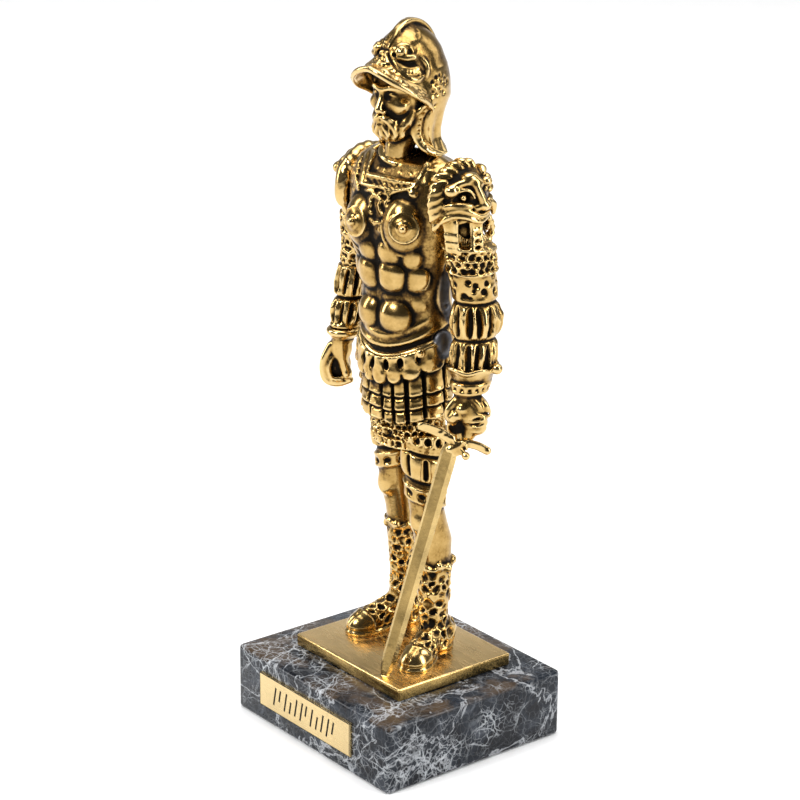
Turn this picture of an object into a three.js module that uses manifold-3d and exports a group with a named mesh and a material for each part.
// A small brass knight in parade armour on its foot plate, fixed on a chamfered marble plinth.
// Millimetres, +Z up. The origin is the centre of the plinth's underside and the knight faces -Y.
import * as THREE from "three";
import { mergeVertices } from "three/addons/utils/BufferGeometryUtils.js";
import Module from "manifold-3d";

// Marble plinth
const plinthLength = 41;
const plinthDepth = 36.5;
const plinthHeight = 11.7;
const plinthChamfer = 0.8;

// Square foot plate, cast with the figure
const footPlateLength = 27.8;
const footPlateDepth = 23.6;
const footPlateThickness = 2.2;
const footPlateSetBack = 1;
const footPlateChamfer = 0.25;

// Name plate on the plinth's front face
const namePlateLength = 24.9;
const namePlateHeight = 6;
const namePlateThickness = 0.5;
const namePlateShift = -1.2;
const namePlateRise = 6.2;
const strokeDepth = 0.15;
const strokeWidth = 0.45;
const strokeHeight = 2.5;
const strokePitch = 1.5;
const strokeCount = 12;
const strokeLean = 12;

// Figure: its forms are shares of its height, told in units of a 106th of it, from the foot plate's top.
const figureHeight = 106.1;
const unit = figureHeight / 106;

const wasm = await Module();
wasm.setup();

const turn = THREE.MathUtils.degToRad;
const mix = THREE.MathUtils.lerp;

// A closed geometry as a solid, with shared vertices merged and flat triangles dropped.
function solidOf(geometry) {
  const bare = geometry.clone();
  bare.deleteAttribute("normal");
  bare.deleteAttribute("uv");
  const merged = mergeVertices(bare, 1e-4);
  const index = merged.index.array;
  const triangles = [];
  for (let i = 0; i < index.length; i += 3) {
    const [a, b, c] = [index[i], index[i + 1], index[i + 2]];
    if (a !== b && b !== c && c !== a) {
      triangles.push(a, b, c);
    }
  }
  return new wasm.Manifold(
    new wasm.Mesh({
      numProp: 3,
      vertProperties: new Float32Array(merged.attributes.position.array),
      triVerts: new Uint32Array(triangles),
    }),
  );
}

function joined(geometries) {
  return geometries.map(solidOf).reduce((whole, piece) => whole.add(piece));
}

function geometryOf(solid) {
  const mesh = solid.getMesh();
  const geometry = new THREE.BufferGeometry();
  geometry.setAttribute("position", new THREE.BufferAttribute(new Float32Array(mesh.vertProperties), 3));
  geometry.setIndex(new THREE.BufferAttribute(new Uint32Array(mesh.triVerts), 1));
  geometry.computeVertexNormals();
  return geometry;
}

// Moves every vertex of a geometry to where the given function puts it.
function reshaped(geometry, place) {
  const position = geometry.attributes.position;
  const point = new THREE.Vector3();
  for (let i = 0; i < position.count; i += 1) {
    point.fromBufferAttribute(position, i);
    const placed = place(point);
    position.setXYZ(i, placed.x, placed.y, placed.z);
  }
  return geometry;
}

// The section of a trunk or limb at height z, from a list of
// [height, centre x, centre y, half width, half depth, turn in degrees].
function sectionAt(sections, z) {
  let k = 0;
  while (k < sections.length - 2 && z > sections[k + 1][0]) {
    k += 1;
  }
  const [low, high] = [sections[k], sections[k + 1]];
  const share = THREE.MathUtils.clamp((z - low[0]) / (high[0] - low[0]), 0, 1);
  return low.map((value, i) => mix(value, high[i], share));
}

// A point on the skin of a trunk, at an angle in degrees from its front towards its left side.
function onSkin(sections, angle, z, lift = 0) {
  const [, x, y, halfWidth, halfDepth, yaw = 0] = sectionAt(sections, z);
  const across = (halfWidth + lift) * Math.sin(turn(angle));
  const ahead = -(halfDepth + lift) * Math.cos(turn(angle));
  const [c, s] = [Math.cos(turn(yaw)), Math.sin(turn(yaw))];
  return new THREE.Vector3(x + across * c - ahead * s, y + across * s + ahead * c, z);
}

// A closed trunk or limb through its sections, with rows at every listed height. The swell widens
// it by a share of its size, the drop lowers a point of a row, and the first is the angle in
// degrees that its columns start from.
function trunk(sections, around, { swell = () => 0, drop = () => 0, first = 0 } = {}) {
  const rows = sections.length - 1;
  const geometry = new THREE.CylinderGeometry(1, 1, rows, around, rows);
  geometry.rotateX(Math.PI / 2);
  geometry.rotateZ(turn(first));
  return reshaped(geometry, (p) => {
    const row = Math.round(p.z + rows / 2);
    const [z, x, y, halfWidth, halfDepth, yaw = 0] = sections[row];
    const angle = THREE.MathUtils.radToDeg(Math.atan2(p.x, -p.y));
    const onRim = Math.hypot(p.x, p.y) > 0.5;
    const grown = 1 + (onRim ? swell(angle, row, z) : 0);
    const [across, ahead] = [p.x * halfWidth * grown, p.y * halfDepth * grown];
    const [c, s] = [Math.cos(turn(yaw)), Math.sin(turn(yaw))];
    const low = onRim ? drop(angle, row, z) : 0;
    return new THREE.Vector3(x + across * c - ahead * s, y + across * s + ahead * c, z - low);
  });
}

// A rounded lump with half sizes along its own axes, turned by degrees about x, y and z.
function lump(centre, halfSizes, turns = [0, 0, 0], around = 10, rows = 6) {
  const geometry = new THREE.SphereGeometry(1, around, rows);
  geometry.rotateX(Math.PI / 2);
  const euler = new THREE.Euler(...turns.map(turn), "XYZ");
  const place = new THREE.Matrix4().compose(
    new THREE.Vector3(...centre),
    new THREE.Quaternion().setFromEuler(euler),
    new THREE.Vector3(...halfSizes),
  );
  return geometry.applyMatrix4(place);
}

// A rounded lump raised or sunk by bumps, each told as [x, y, z, reach, rise] about its centre.
function carvedLump(centre, halfSizes, bumps, around, rows) {
  const geometry = new THREE.SphereGeometry(1, around, rows);
  geometry.rotateX(Math.PI / 2);
  return reshaped(geometry, (p) => {
    const point = p.clone().multiply(new THREE.Vector3(...halfSizes));
    const outward = point.clone().normalize();
    let lift = 0;
    for (const [x, y, z, reach, rise] of bumps) {
      const far = point.distanceTo(new THREE.Vector3(x, y, z)) / reach;
      lift += far < 1 ? rise * (1 - far * far) : 0;
    }
    return point.addScaledVector(outward, lift).add(new THREE.Vector3(...centre));
  });
}

// A plate of even thickness over a surface given as a function of two shares from 0 to 1.
function plate(surface, thickness, across = 1, along = 1) {
  const geometry = new THREE.BoxGeometry(1, 1, 1, across, along, 1);
  const step = 1e-3;
  return reshaped(geometry, (p) => {
    const [u, v] = [p.x + 0.5, p.y + 0.5];
    const [u0, v0] = [Math.min(u, 1 - step), Math.min(v, 1 - step)];
    const base = surface(u0, v0);
    const du = surface(u0 + step, v0).sub(base);
    const dv = surface(u0, v0 + step).sub(base);
    const normal = du.cross(dv).normalize();
    return surface(u, v).addScaledVector(normal, p.z * thickness);
  });
}

// A round bar along a curve through points, thinner or thicker along its length.
function bar(points, radius, around = 6, steps = 8) {
  const curve = new THREE.CatmullRomCurve3(points.map((p) => new THREE.Vector3(...p)));
  const geometry = new THREE.CylinderGeometry(1, 1, steps, around, steps);
  geometry.rotateX(Math.PI / 2);
  const frames = curve.computeFrenetFrames(steps, false);
  return reshaped(geometry, (p) => {
    const k = Math.round(p.z + steps / 2);
    const size = typeof radius === "function" ? radius(k / steps) : radius;
    return curve
      .getPointAt(k / steps)
      .addScaledVector(frames.normals[k], p.x * size)
      .addScaledVector(frames.binormals[k], p.y * size);
  });
}

// A round turned form about an axis through a point, from a profile of [radius, height] pairs.
function turned(profile, centre, axis, around = 16, flatten = 1) {
  const geometry = new THREE.LatheGeometry(
    profile.map(([r, h]) => new THREE.Vector2(r, h)),
    around,
  );
  geometry.scale(1, 1, flatten);
  const spin = new THREE.Quaternion().setFromUnitVectors(
    new THREE.Vector3(0, 1, 0),
    new THREE.Vector3(...axis).normalize(),
  );
  return geometry.applyQuaternion(spin).translate(...centre);
}

// Where the trunk, skirt, arms and legs run
const trunkSections = [
  [50, 0.1, 0.3, 7.4, 5.6, 6],
  [57, 0.1, 0.2, 7.7, 5.8, 6],
  [61, 0.1, 0.2, 7.5, 5.7, 7],
  [66, 0.2, 0.1, 7.8, 5.7, 8],
  [70, 0.2, -0.2, 8.8, 6.2, 8],
  [74, 0.2, -0.3, 9.8, 6.6, 8],
  [78, 0.2, -0.1, 10.3, 6.1, 8],
  [81, 0.3, 0.2, 10.4, 5.4, 8],
  [83.2, 0.4, 0.5, 9.2, 4.2, 8],
  [84.6, 0.5, 0.6, 7, 3.2, 8],
];
const skirtSections = [
  [36.4, 0, 0.6, 6.3, 4.9, 4],
  [38.4, 0.1, 0.5, 7.2, 5.6, 4],
  [40.4, 0.1, 0.4, 7.4, 5.8, 5],
  [40.8, 0.1, 0.4, 8, 6.4, 5],
  [44.2, 0.1, 0.3, 7.7, 6, 5],
  [44.5, 0.1, 0.3, 8.1, 6.4, 5],
  [47.6, 0.1, 0.3, 7.8, 6.1, 6],
  [47.9, 0.1, 0.3, 8.2, 6.4, 6],
  [52.4, 0.1, 0.3, 7.8, 6, 6],
  [52.7, 0.1, 0.3, 8.4, 6.6, 6],
  [57.6, 0.1, 0.2, 7.9, 6, 6],
  [58, 0.1, 0.2, 7, 5.2, 6],
];
const leftArmSections = [
  [47.6, 15.4, 0.6, 2, 2.4, 0],
  [49.2, 15.3, 0.9, 2.6, 3, 0],
  [50, 15.2, 1.1, 2.3, 2.7, 0],
  [53.2, 15.1, 1.6, 3, 3.3, 0],
  [56, 14.9, 2, 3.1, 3.4, 0],
  [57.4, 14.8, 2.2, 2.7, 3.1, 0],
  [58.2, 14.8, 2.3, 3.1, 3.6, 0],
  [60.5, 14.7, 2.5, 3.4, 4, 0],
  [63, 14.6, 2.5, 3.1, 3.6, 0],
  [63.6, 14.5, 2.4, 2.5, 2.9, 0],
  [66.4, 14.3, 2.1, 2.9, 3.3, 0],
  [69.6, 14.1, 1.7, 3.2, 3.6, 0],
  [70.2, 14, 1.6, 3.6, 4.3, 0],
  [73, 13.7, 1.5, 3.7, 4.4, 0],
  [80, 12.6, 0.8, 3.4, 4, 0],
];
const rightArmSections = [
  [48.6, -14, -2.1, 1.6, 1.9, 0],
  [51, -14, -1.7, 1.7, 2, 0],
  [51.4, -14, -1.6, 2.4, 2.6, 0],
  [52.4, -14, -1.5, 2.5, 2.8, 0],
  [53.2, -14, -1.3, 2, 2.3, 0],
  [54, -14, -0.9, 2.4, 2.8, 0],
  [56.6, -14, -0.3, 2.6, 3, 0],
  [58, -14, 0, 2.2, 2.6, 0],
  [59, -14, 0.3, 2.6, 3, 0],
  [61.6, -13.9, 0.6, 2.7, 3.1, 0],
  [63.4, -13.8, 0.9, 2.2, 2.6, 0],
  [67, -13.6, 1.2, 2.6, 3, 0],
  [71, -13.3, 1.3, 3, 3.5, 0],
  [79, -12.4, 1.3, 3.4, 3.8, 0],
];
const leftLegSections = [
  [2.4, 5.3, 2.4, 2.2, 2.6, 14],
  [6, 5.2, 2.1, 2.2, 2.4, 14],
  [10, 5.2, 2.3, 2.3, 2.6, 12],
  [14.6, 5.1, 2.5, 2.7, 3, 10],
  [15.6, 5, 2.5, 2.8, 3.1, 10],
  [15.9, 5, 2.5, 2.4, 2.7, 10],
  [20, 4.8, 2.3, 2.9, 3.5, 10],
  [23, 4.6, 1.7, 2.7, 3.1, 8],
  [26.4, 4.5, 1, 2.7, 2.9, 8],
  [27.4, 4.5, 0.9, 3.2, 3.4, 8],
  [30, 4.5, 0.9, 3.3, 3.5, 8],
  [30.8, 4.5, 0.9, 2.9, 3.1, 8],
  [31.6, 4.5, 0.9, 3.4, 3.6, 8],
  [35.8, 4.4, 1, 3.5, 3.8, 8],
  [36.3, 4.4, 1, 3.8, 4, 8],
  [39, 4.2, 0.9, 3.6, 4.2, 8],
];
const rightLegSections = [
  [2.4, -7, 5.6, 2.2, 2.8, 0],
  [6, -6.9, 5.4, 1.8, 2.3, 0],
  [10, -6.5, 5.1, 1.8, 2.1, 0],
  [15, -5.9, 4.6, 2.1, 2.4, 0],
  [20, -5.3, 4, 2.6, 2.8, 0],
  [20.4, -5.2, 3.9, 2.2, 2.5, 0],
  [23, -4.8, 3.3, 2.4, 2.7, 0],
  [27, -4.6, 2.3, 2.8, 3, 0],
  [29.8, -4.5, 1.9, 2.8, 3, 0],
  [30.4, -4.5, 1.9, 3.1, 3.3, 0],
  [32.6, -4.4, 1.8, 3.1, 3.3, 0],
  [33.2, -4.4, 1.7, 2.8, 3, 0],
  [34, -4.3, 1.6, 3.2, 3.5, 0],
  [38.4, -4.1, 1.4, 3.3, 3.8, 0],
];

// Cuirass: trunk, belly and its six pads
const padRows = [
  { height: 69.2, halfWidth: 2.6, halfHeight: 2.3 },
  { height: 65, halfWidth: 2.6, halfHeight: 2.2 },
  { height: 60.6, halfWidth: 2.7, halfHeight: 2.7 },
];

function cuirass() {
  const forms = [trunk(trunkSections, 20)];
  for (const side of [-1, 1]) {
    for (const { height, halfWidth, halfHeight } of padRows) {
      const centre = onSkin(trunkSections, side * 22, height, -0.7);
      forms.push(lump(centre.toArray(), [halfWidth, 1.4, halfHeight], [0, 0, side * 18 + 8], 8, 4));
    }
  }
  const belly = onSkin(trunkSections, 0, 57.2, -1.5);
  forms.push(lump(belly.toArray(), [5, 2.2, 3.2], [0, 0, 8], 10, 5));
  return forms;
}

// The cuirass's lower edge dips in front and rises to the hips, as a rolled rim.
const edgeHeight = 57.8;
const edgeDip = 5;
const rimRadii = [0.65, 0.85];

function dipAt(angle) {
  return edgeDip * Math.cos(turn(angle / 2)) ** 3;
}

function cuirassRim() {
  const geometry = new THREE.TorusGeometry(1, 0.1, 4, 20);
  return reshaped(geometry, (p) => {
    const angle = THREE.MathUtils.radToDeg(Math.atan2(p.x, -p.y));
    const out = (Math.hypot(p.x, p.y) - 1) * 10 * rimRadii[0];
    const point = onSkin(trunkSections, angle, edgeHeight - dipAt(angle), 0.35 + out);
    point.z += p.z * 10 * rimRadii[1];
    return point;
  });
}

// Breast plates: shallow domes with a rolled rim, an inner ring and a boss
const breastProfile = [
  [0, -1.5],
  [3.9, -1.5],
  [4.4, -0.5],
  [4.1, 0.15],
  [3.4, 0.5],
  [2.6, 1.3],
  [2.2, 1.3],
  [0.95, 1.75],
  [0.7, 2.2],
  [0, 2.4],
];

function breastPlate(side) {
  const facing = side * 26 + 8;
  const axis = [Math.sin(turn(facing)), -Math.cos(turn(facing)), 0.02];
  const centre = onSkin(trunkSections, side * 37, side > 0 ? 74.2 : 73.6, -0.2);
  return turned(breastProfile, centre.toArray(), axis, 12, 1.12);
}

// Borders of the square neckline
function neckline() {
  const strip = (from, to, wide) => (u, v) => {
    const angle = mix(from[0], to[0], v) + (u - 0.5) * wide[0];
    return onSkin(trunkSections, angle, mix(from[1], to[1], v) + (u - 0.5) * wide[1], 0.6);
  };
  const lower = plate(strip([-42, 79.2], [42, 79.8], [0, -2]), 0.9, 1, 7);
  const sides = [-1, 1].map((side) => {
    const shape = strip([side * 38, 79.4], [side * 66, 83.4], [12, 0]);
    return plate(shape, 1, 1, 3);
  });
  return [lower, ...sides];
}

// Gorget: two rings about the neck, lower in front
function gorget() {
  const ring = (radius, thickness, z) => {
    const geometry = new THREE.TorusGeometry(radius, thickness, 4, 12);
    geometry.rotateX(turn(22));
    return geometry.translate(0.6, -0.1, z);
  };
  const collar = [
    [81.5, 0.6, 0, 3.6, 3.9, 0],
    [84.6, 0.6, 0.1, 3.1, 3.1, 0],
  ];
  return [ring(3.5, 0.42, 84.6), ring(2.9, 0.36, 85.8), trunk(collar, 12)];
}

// Skirt: a mail hem, straps of three lames and a row of tabs above them, parted by grooves. The
// tabs follow the cuirass's edge.
const strapCount = 16;
const strapRows = { first: 3, tab: 8, tabEdge: 9 };
const tabDrop = 1.4;
const tabDipShare = 0.56;
const grooveDepth = 0.09;

function skirt() {
  const pitch = 360 / strapCount;
  const inGroove = (angle) => {
    const share = THREE.MathUtils.euclideanModulo(angle / pitch, 1);
    return Math.abs(share - 0.5) < 0.1;
  };
  const swell = (angle, row) => {
    const grooved = row >= strapRows.first && row <= strapRows.tabEdge;
    return grooved && inGroove(angle) ? -grooveDepth : 0;
  };
  const drop = (angle, row) => {
    if (row > strapRows.tabEdge) {
      return dipAt(angle);
    }
    return row < strapRows.tab ? 0 : tabDipShare * dipAt(angle) + (inGroove(angle) ? 0 : tabDrop);
  };
  return [trunk(skirtSections, strapCount * 3, { swell, drop, first: pitch / 6 })];
}

// Head: face, beard and neck under the helmet, in the head's own frame
const headCentre = [0.8, -0.15, 94];
const headTurn = 10;

function onHead(geometry) {
  return geometry.rotateZ(turn(headTurn)).translate(...headCentre);
}

function face() {
  const forms = [
    lump([0, -2.3, 0.4], [4.2, 4.6, 6.2], [0, 0, 0], 10, 8),
    lump([0, -4.1, -4.2], [2.7, 2.4, 2.6], [0, 0, 0], 8, 5),
    lump([0, -6.1, 3.4], [3.2, 0.9, 0.8], [0, 0, 0], 6, 4),
    lump([0, -6.6, 1.1], [0.8, 1.3, 2.1], [-24, 0, 0], 6, 4),
    lump([0, -7, 0.1], [1.1, 0.9, 0.7], [0, 0, 0], 6, 4),
    lump([0, -6.1, -2.7], [1.2, 0.7, 0.5], [0, 0, 0], 6, 4),
  ];
  for (const side of [-1, 1]) {
    forms.push(lump([side * 1.3, -6, -1.5], [1.6, 0.8, 0.6], [0, side * 28, side * 14], 6, 4));
  }
  return forms.map(onHead);
}

function neck() {
  const sections = [
    [82, 0.6, 0.2, 2.4, 2.5, 0],
    [90, 0.8, 0, 2.6, 2.8, 0],
  ];
  return [trunk(sections, 10)];
}

// Helmet: a tall skull with a low comb, a flared brim over the brow and a falling neck guard
const skullSections = [
  [1.6, 0, 0.4, 5.7, 6.8, 0],
  [5.6, 0, -0.2, 5.3, 6.4, 0],
  [8.4, 0, -0.4, 4.2, 5.1, 0],
  [10.2, 0, -0.3, 3, 3.7, 0],
  [11.3, 0, -0.3, 1.6, 2.1, 0],
];
const brimRim = [
  [0, 8.9, 5.6],
  [20, 9, 4.9],
  [37, 9.1, 3.5],
  [50, 8.5, 2.1],
  [61, 7.3, 0.6],
  [72, 6, -0.4],
];
const guardSections = [
  [-9.9, 0, 0, 5.4, 5.6, 0],
  [-8.6, 0, 0.1, 4.6, 4.6, 0],
  [-7, 0, 0.2, 4.1, 3.8, 0],
  [-5, 0, 0.2, 4.1, 3.8, 0],
  [-2.5, 0, 0.3, 4.7, 4.8, 0],
  [0, 0, 0.4, 5.3, 6.1, 0],
  [3, 0, 0.1, 5.4, 6.5, 0],
];
const guardFrontEdge = [
  [-9.9, 90],
  [-9, 76],
  [-7, 54],
  [-3, 52],
  [0.5, 64],
  [3, 74],
];

function brimPoint(angle, share) {
  const [, radius, height] = sectionAt(brimRim, Math.abs(angle));
  const rootHeight = 7.6 - 4.4 * (1 - Math.cos(turn(angle)));
  const root = onSkin(skullSections, angle, rootHeight, -0.3);
  const rim = new THREE.Vector3(radius * Math.sin(turn(angle)), -radius * Math.cos(turn(angle)), height);
  const point = root.lerp(rim, share);
  point.z -= 0.8 * Math.sin(Math.PI * share);
  return point;
}

const combRadius = 7.15;
const combHeight = 0.7;

function combPoint(share, out) {
  const angle = turn(mix(-52, 100, share));
  return new THREE.Vector3(
    0,
    -0.2 + (combRadius - 1.2 + out) * Math.sin(angle),
    4.2 + (combRadius + out) * Math.cos(angle),
  );
}

function helmet() {
  const skull = trunk(skullSections, 14);
  const brim = plate((u, v) => brimPoint(mix(-72, 72, u), v), 0.8, 12, 2);
  const guard = plate(
    (u, v) => {
      const z = mix(-9.9, 3, v);
      const edge = sectionAt(guardFrontEdge, z)[1];
      return onSkin(guardSections, mix(edge, 360 - edge, u), z, -0.2);
    },
    0.9,
    10,
    5,
  );
  const comb = plate((u, v) => combPoint(v, mix(combHeight, -0.5, u)), 1.1, 1, 10);
  return [skull, brim, guard, comb].map(onHead);
}

// A lion mask over a shoulder, facing outwards: brow, eyes, muzzle, lip and a mane in front
const maskHalfSizes = [3.8, 4.8, 4.9];
const maskBumps = [
  [2.2, -3.2, 2.5, 2.3, 1.1],
  [2.4, 0.4, 3.8, 2.7, 0.8],
  [2, 3.4, 2.4, 2, 0.5],
  [3.3, -1.8, 1.1, 1.4, -0.9],
  [3.9, 0.6, -0.2, 2.1, 1.3],
  [3.3, -2.5, -1.5, 1.7, 1],
  [3.1, 2.7, -1.5, 1.7, 0.8],
  [3, -0.6, -3.5, 2.1, -1],
];
const maneTufts = 5;

function lionMask(side) {
  const centre = side > 0 ? [13, 1, 79.8] : [-12.2, 1.1, 77.6];
  const bumps = maskBumps.map(([x, ...rest]) => [side * x, ...rest]);
  for (let k = 0; k < maneTufts; k += 1) {
    const angle = turn(mix(-64, 64, k / (maneTufts - 1)));
    bumps.push([-side, -4.7 * Math.cos(angle), 4.9 * Math.sin(angle), 1.6, 1]);
  }
  return carvedLump(centre, maskHalfSizes, bumps, 16, 10);
}

// Arms: slashed sleeves in tiers, with ribs between the slashes
function arms() {
  const ribs = (angle, row, z) => (z > 53 && z < 63.3 ? 0.05 * Math.cos(turn(angle * 6)) : 0);
  return [leftArmSections, rightArmSections].map((sections) => trunk(sections, 10, { swell: ribs }));
}

// A flared cuff above the left hand
function cuff() {
  return trunk(
    [
      [49.8, 15.2, 1.1, 2.4, 2.9, 0],
      [52.6, 15.2, 1.5, 3.6, 4, 0],
      [53.2, 15.2, 1.6, 3.5, 3.9, 0],
    ],
    12,
  );
}

// Hands: a palm, four curled fingers side by side and a thumb
function curledFingers(from, to, radius) {
  const steps = 8;
  const knuckles = (t) => radius * (Math.round(t * steps) % 2 ? 1 : 0.82);
  return bar([from, to], knuckles, 7, steps);
}

function leftHand() {
  return [
    lump([15.4, 0.3, 46.4], [1.9, 3, 2.9], [0, 0, 0], 10, 6),
    curledFingers([15.9, -2.2, 43.8], [16.1, 3, 42.8], 1.7),
    bar([[15.4, -1.6, 47.2], [15, -2.9, 44.8], [15.2, -2.6, 42.4]], 0.85, 5, 4),
  ];
}

function rightHand() {
  return [
    lump([-14, -2.2, 47.4], [1.7, 2.2, 2.6], [0, 0, 0], 10, 6),
    curledFingers([-16, -2.9, 44.8], [-12.2, -2.9, 44.8], 2),
    bar([[-12.6, -3.2, 47.8], [-12, -3.9, 45.8], [-12.4, -4.5, 44]], 0.8, 5, 4),
  ];
}

// Sword: a ridged blade from the guard to the foot plate, and a curved guard at the hand
const bladeTip = new THREE.Vector3(7.9, -10.1, -0.2);
const bladeRoot = new THREE.Vector3(15, -2.8, 39.9);
const guardCentre = [15.5, -1.5, 40.3];
const guardAlong = new THREE.Vector3(0.78, 0.566, -0.26).normalize();
const bladeHalfWidth = 1.25;
const bladeHalfThickness = 0.6;

function sword() {
  const axis = bladeTip.clone().sub(bladeRoot).normalize();
  const length = bladeTip.distanceTo(bladeRoot);
  const flat = new THREE.Vector3().crossVectors(axis, guardAlong).normalize();
  const outline = new THREE.Shape();
  outline.moveTo(-bladeHalfWidth, 0);
  outline.lineTo(0.3, -bladeHalfThickness);
  outline.lineTo(bladeHalfWidth, 0);
  outline.lineTo(0.3, bladeHalfThickness);
  const blade = new THREE.ExtrudeGeometry(outline, { depth: length, bevelEnabled: false, steps: 12 });
  reshaped(blade, (p) => {
    const taper = p.z > length - 0.01 ? 0.6 : 1;
    return bladeRoot
      .clone()
      .addScaledVector(guardAlong, p.x * taper)
      .addScaledVector(flat, p.y)
      .addScaledVector(axis, p.z);
  });
  const at = (along, down) => {
    const point = new THREE.Vector3(...guardCentre).addScaledVector(guardAlong, along);
    return point.addScaledVector(axis, down).toArray();
  };
  const guard = bar(
    [at(-6.6, -0.3), at(-4, -0.6), at(0, 0), at(3.2, 0.2), at(4.8, -1.1)],
    (t) => 0.65 + 0.25 * Math.cos(t * Math.PI * 4) ** 2,
    5,
    8,
  );
  const block = lump(at(-0.3, 0.4), [1.3, 1.1, 1.3], [0, 0, 36], 6, 4);
  const grip = bar([at(0, 0), at(0, -6)], 0.8, 6, 1);
  return [blade, guard, block, grip];
}

// Legs with their bands, and booted feet
function foot(heel, toe, halfWidth) {
  const stations = 6;
  const geometry = new THREE.CylinderGeometry(1, 1, stations, 12, stations);
  geometry.rotateX(Math.PI / 2);
  const heading = Math.atan2(toe[0] - heel[0], heel[1] - toe[1]);
  const length = Math.hypot(toe[0] - heel[0], toe[1] - heel[1]);
  return reshaped(geometry, (p) => {
    const share = p.z / stations + 0.5;
    const end = Math.sqrt(Math.max(0, 1 - (2 * share - 1) ** 4));
    const wide = halfWidth * (0.72 + 0.36 * share) * (0.35 + 0.65 * end);
    const high = mix(5.6, 2.4, Math.min(1, share * 1.15)) * (0.3 + 0.7 * end);
    const across = p.x * wide;
    const rise = p.y < 0 ? -0.3 + 0.3 * (1 + p.y) : p.y * high;
    const ahead = share * length;
    return new THREE.Vector3(
      heel[0] + ahead * Math.sin(heading) + across * Math.cos(heading),
      heel[1] - ahead * Math.cos(heading) + across * Math.sin(heading),
      rise,
    );
  });
}

// A rounded oval boss on the left hip, under the cuirass's edge
function hipBoss() {
  return lump([7.7, 2.4, 54.4], [1.2, 1.8, 2.3], [0, 0, -18], 8, 6);
}

function legs() {
  return [
    trunk(leftLegSections, 10),
    trunk(rightLegSections, 10),
    foot([4, 5.7], [9.4, -6.4], 2.9),
    foot([-6.9, 8.2], [-8.6, -4.7], 2.7),
  ];
}

// A block with its upright and top edges chamfered
function chamferedBlock(length, depth, height, chamfer) {
  const outline = new THREE.Shape();
  const [x, y] = [length / 2, depth / 2];
  outline.moveTo(-x + chamfer, -y);
  outline.lineTo(x - chamfer, -y);
  outline.lineTo(x, -y + chamfer);
  outline.lineTo(x, y - chamfer);
  outline.lineTo(x - chamfer, y);
  outline.lineTo(-x + chamfer, y);
  outline.lineTo(-x, y - chamfer);
  outline.lineTo(-x, -y + chamfer);
  const levels = [0, height - chamfer, height];
  const geometry = new THREE.ExtrudeGeometry(outline, { depth: height, bevelEnabled: false, steps: 2 });
  return reshaped(geometry, (p) => {
    const level = Math.round((p.z / height) * 2);
    const inset = level === 2 ? chamfer : 0;
    return new THREE.Vector3(p.x - Math.sign(p.x) * inset, p.y - Math.sign(p.y) * inset, levels[level]);
  });
}

function footPlate() {
  const block = chamferedBlock(footPlateLength, footPlateDepth, footPlateThickness, footPlateChamfer);
  return block.translate(0, footPlateSetBack, plinthHeight);
}

function figure() {
  const forms = [
    ...cuirass(),
    cuirassRim(),
    breastPlate(-1),
    breastPlate(1),
    ...neckline(),
    ...gorget(),
    ...neck(),
    ...face(),
    ...helmet(),
    ...skirt(),
    hipBoss(),
    lionMask(1),
    lionMask(-1),
    ...arms(),
    cuff(),
    ...leftHand(),
    ...rightHand(),
    ...legs(),
    ...sword(),
  ];
  for (const form of forms) {
    form.scale(unit, unit, unit).translate(0, footPlateSetBack, plinthHeight + footPlateThickness);
  }
  return joined([...forms, footPlate()]);
}

// Slanted strokes stand for the engraved word.
function namePlate() {
  const front = -plinthDepth / 2;
  const body = new THREE.BoxGeometry(namePlateLength, namePlateThickness, namePlateHeight);
  body.translate(namePlateShift, front - namePlateThickness / 2, namePlateRise);
  let engraved = solidOf(body);
  for (let k = 0; k < strokeCount; k += 1) {
    const stroke = new THREE.BoxGeometry(strokeWidth, strokeDepth * 2, strokeHeight);
    stroke.rotateY(turn(strokeLean));
    const x = namePlateShift + (k - (strokeCount - 1) / 2) * strokePitch;
    stroke.translate(x, front - namePlateThickness, namePlateRise);
    engraved = engraved.subtract(solidOf(stroke));
  }
  return engraved;
}

const brass = new THREE.MeshStandardMaterial({ color: 0xb8924a, roughness: 0.34, metalness: 1 });
const satinBrass = new THREE.MeshStandardMaterial({ color: 0xd9bb77, roughness: 0.4, metalness: 1 });
const marble = new THREE.MeshStandardMaterial({ color: 0x484c55, roughness: 0.3, metalness: 0 });

function named(name, geometry, material) {
  const mesh = new THREE.Mesh(geometry, material);
  mesh.name = name;
  return mesh;
}

const statue = new THREE.Group();
const plinth = chamferedBlock(plinthLength, plinthDepth, plinthHeight, plinthChamfer);
statue.add(named("marble_plinth", geometryOf(solidOf(plinth)), marble));
statue.add(named("knight_figure", geometryOf(figure()), brass));
statue.add(named("name_plate", geometryOf(namePlate()), satinBrass));

export default statue;
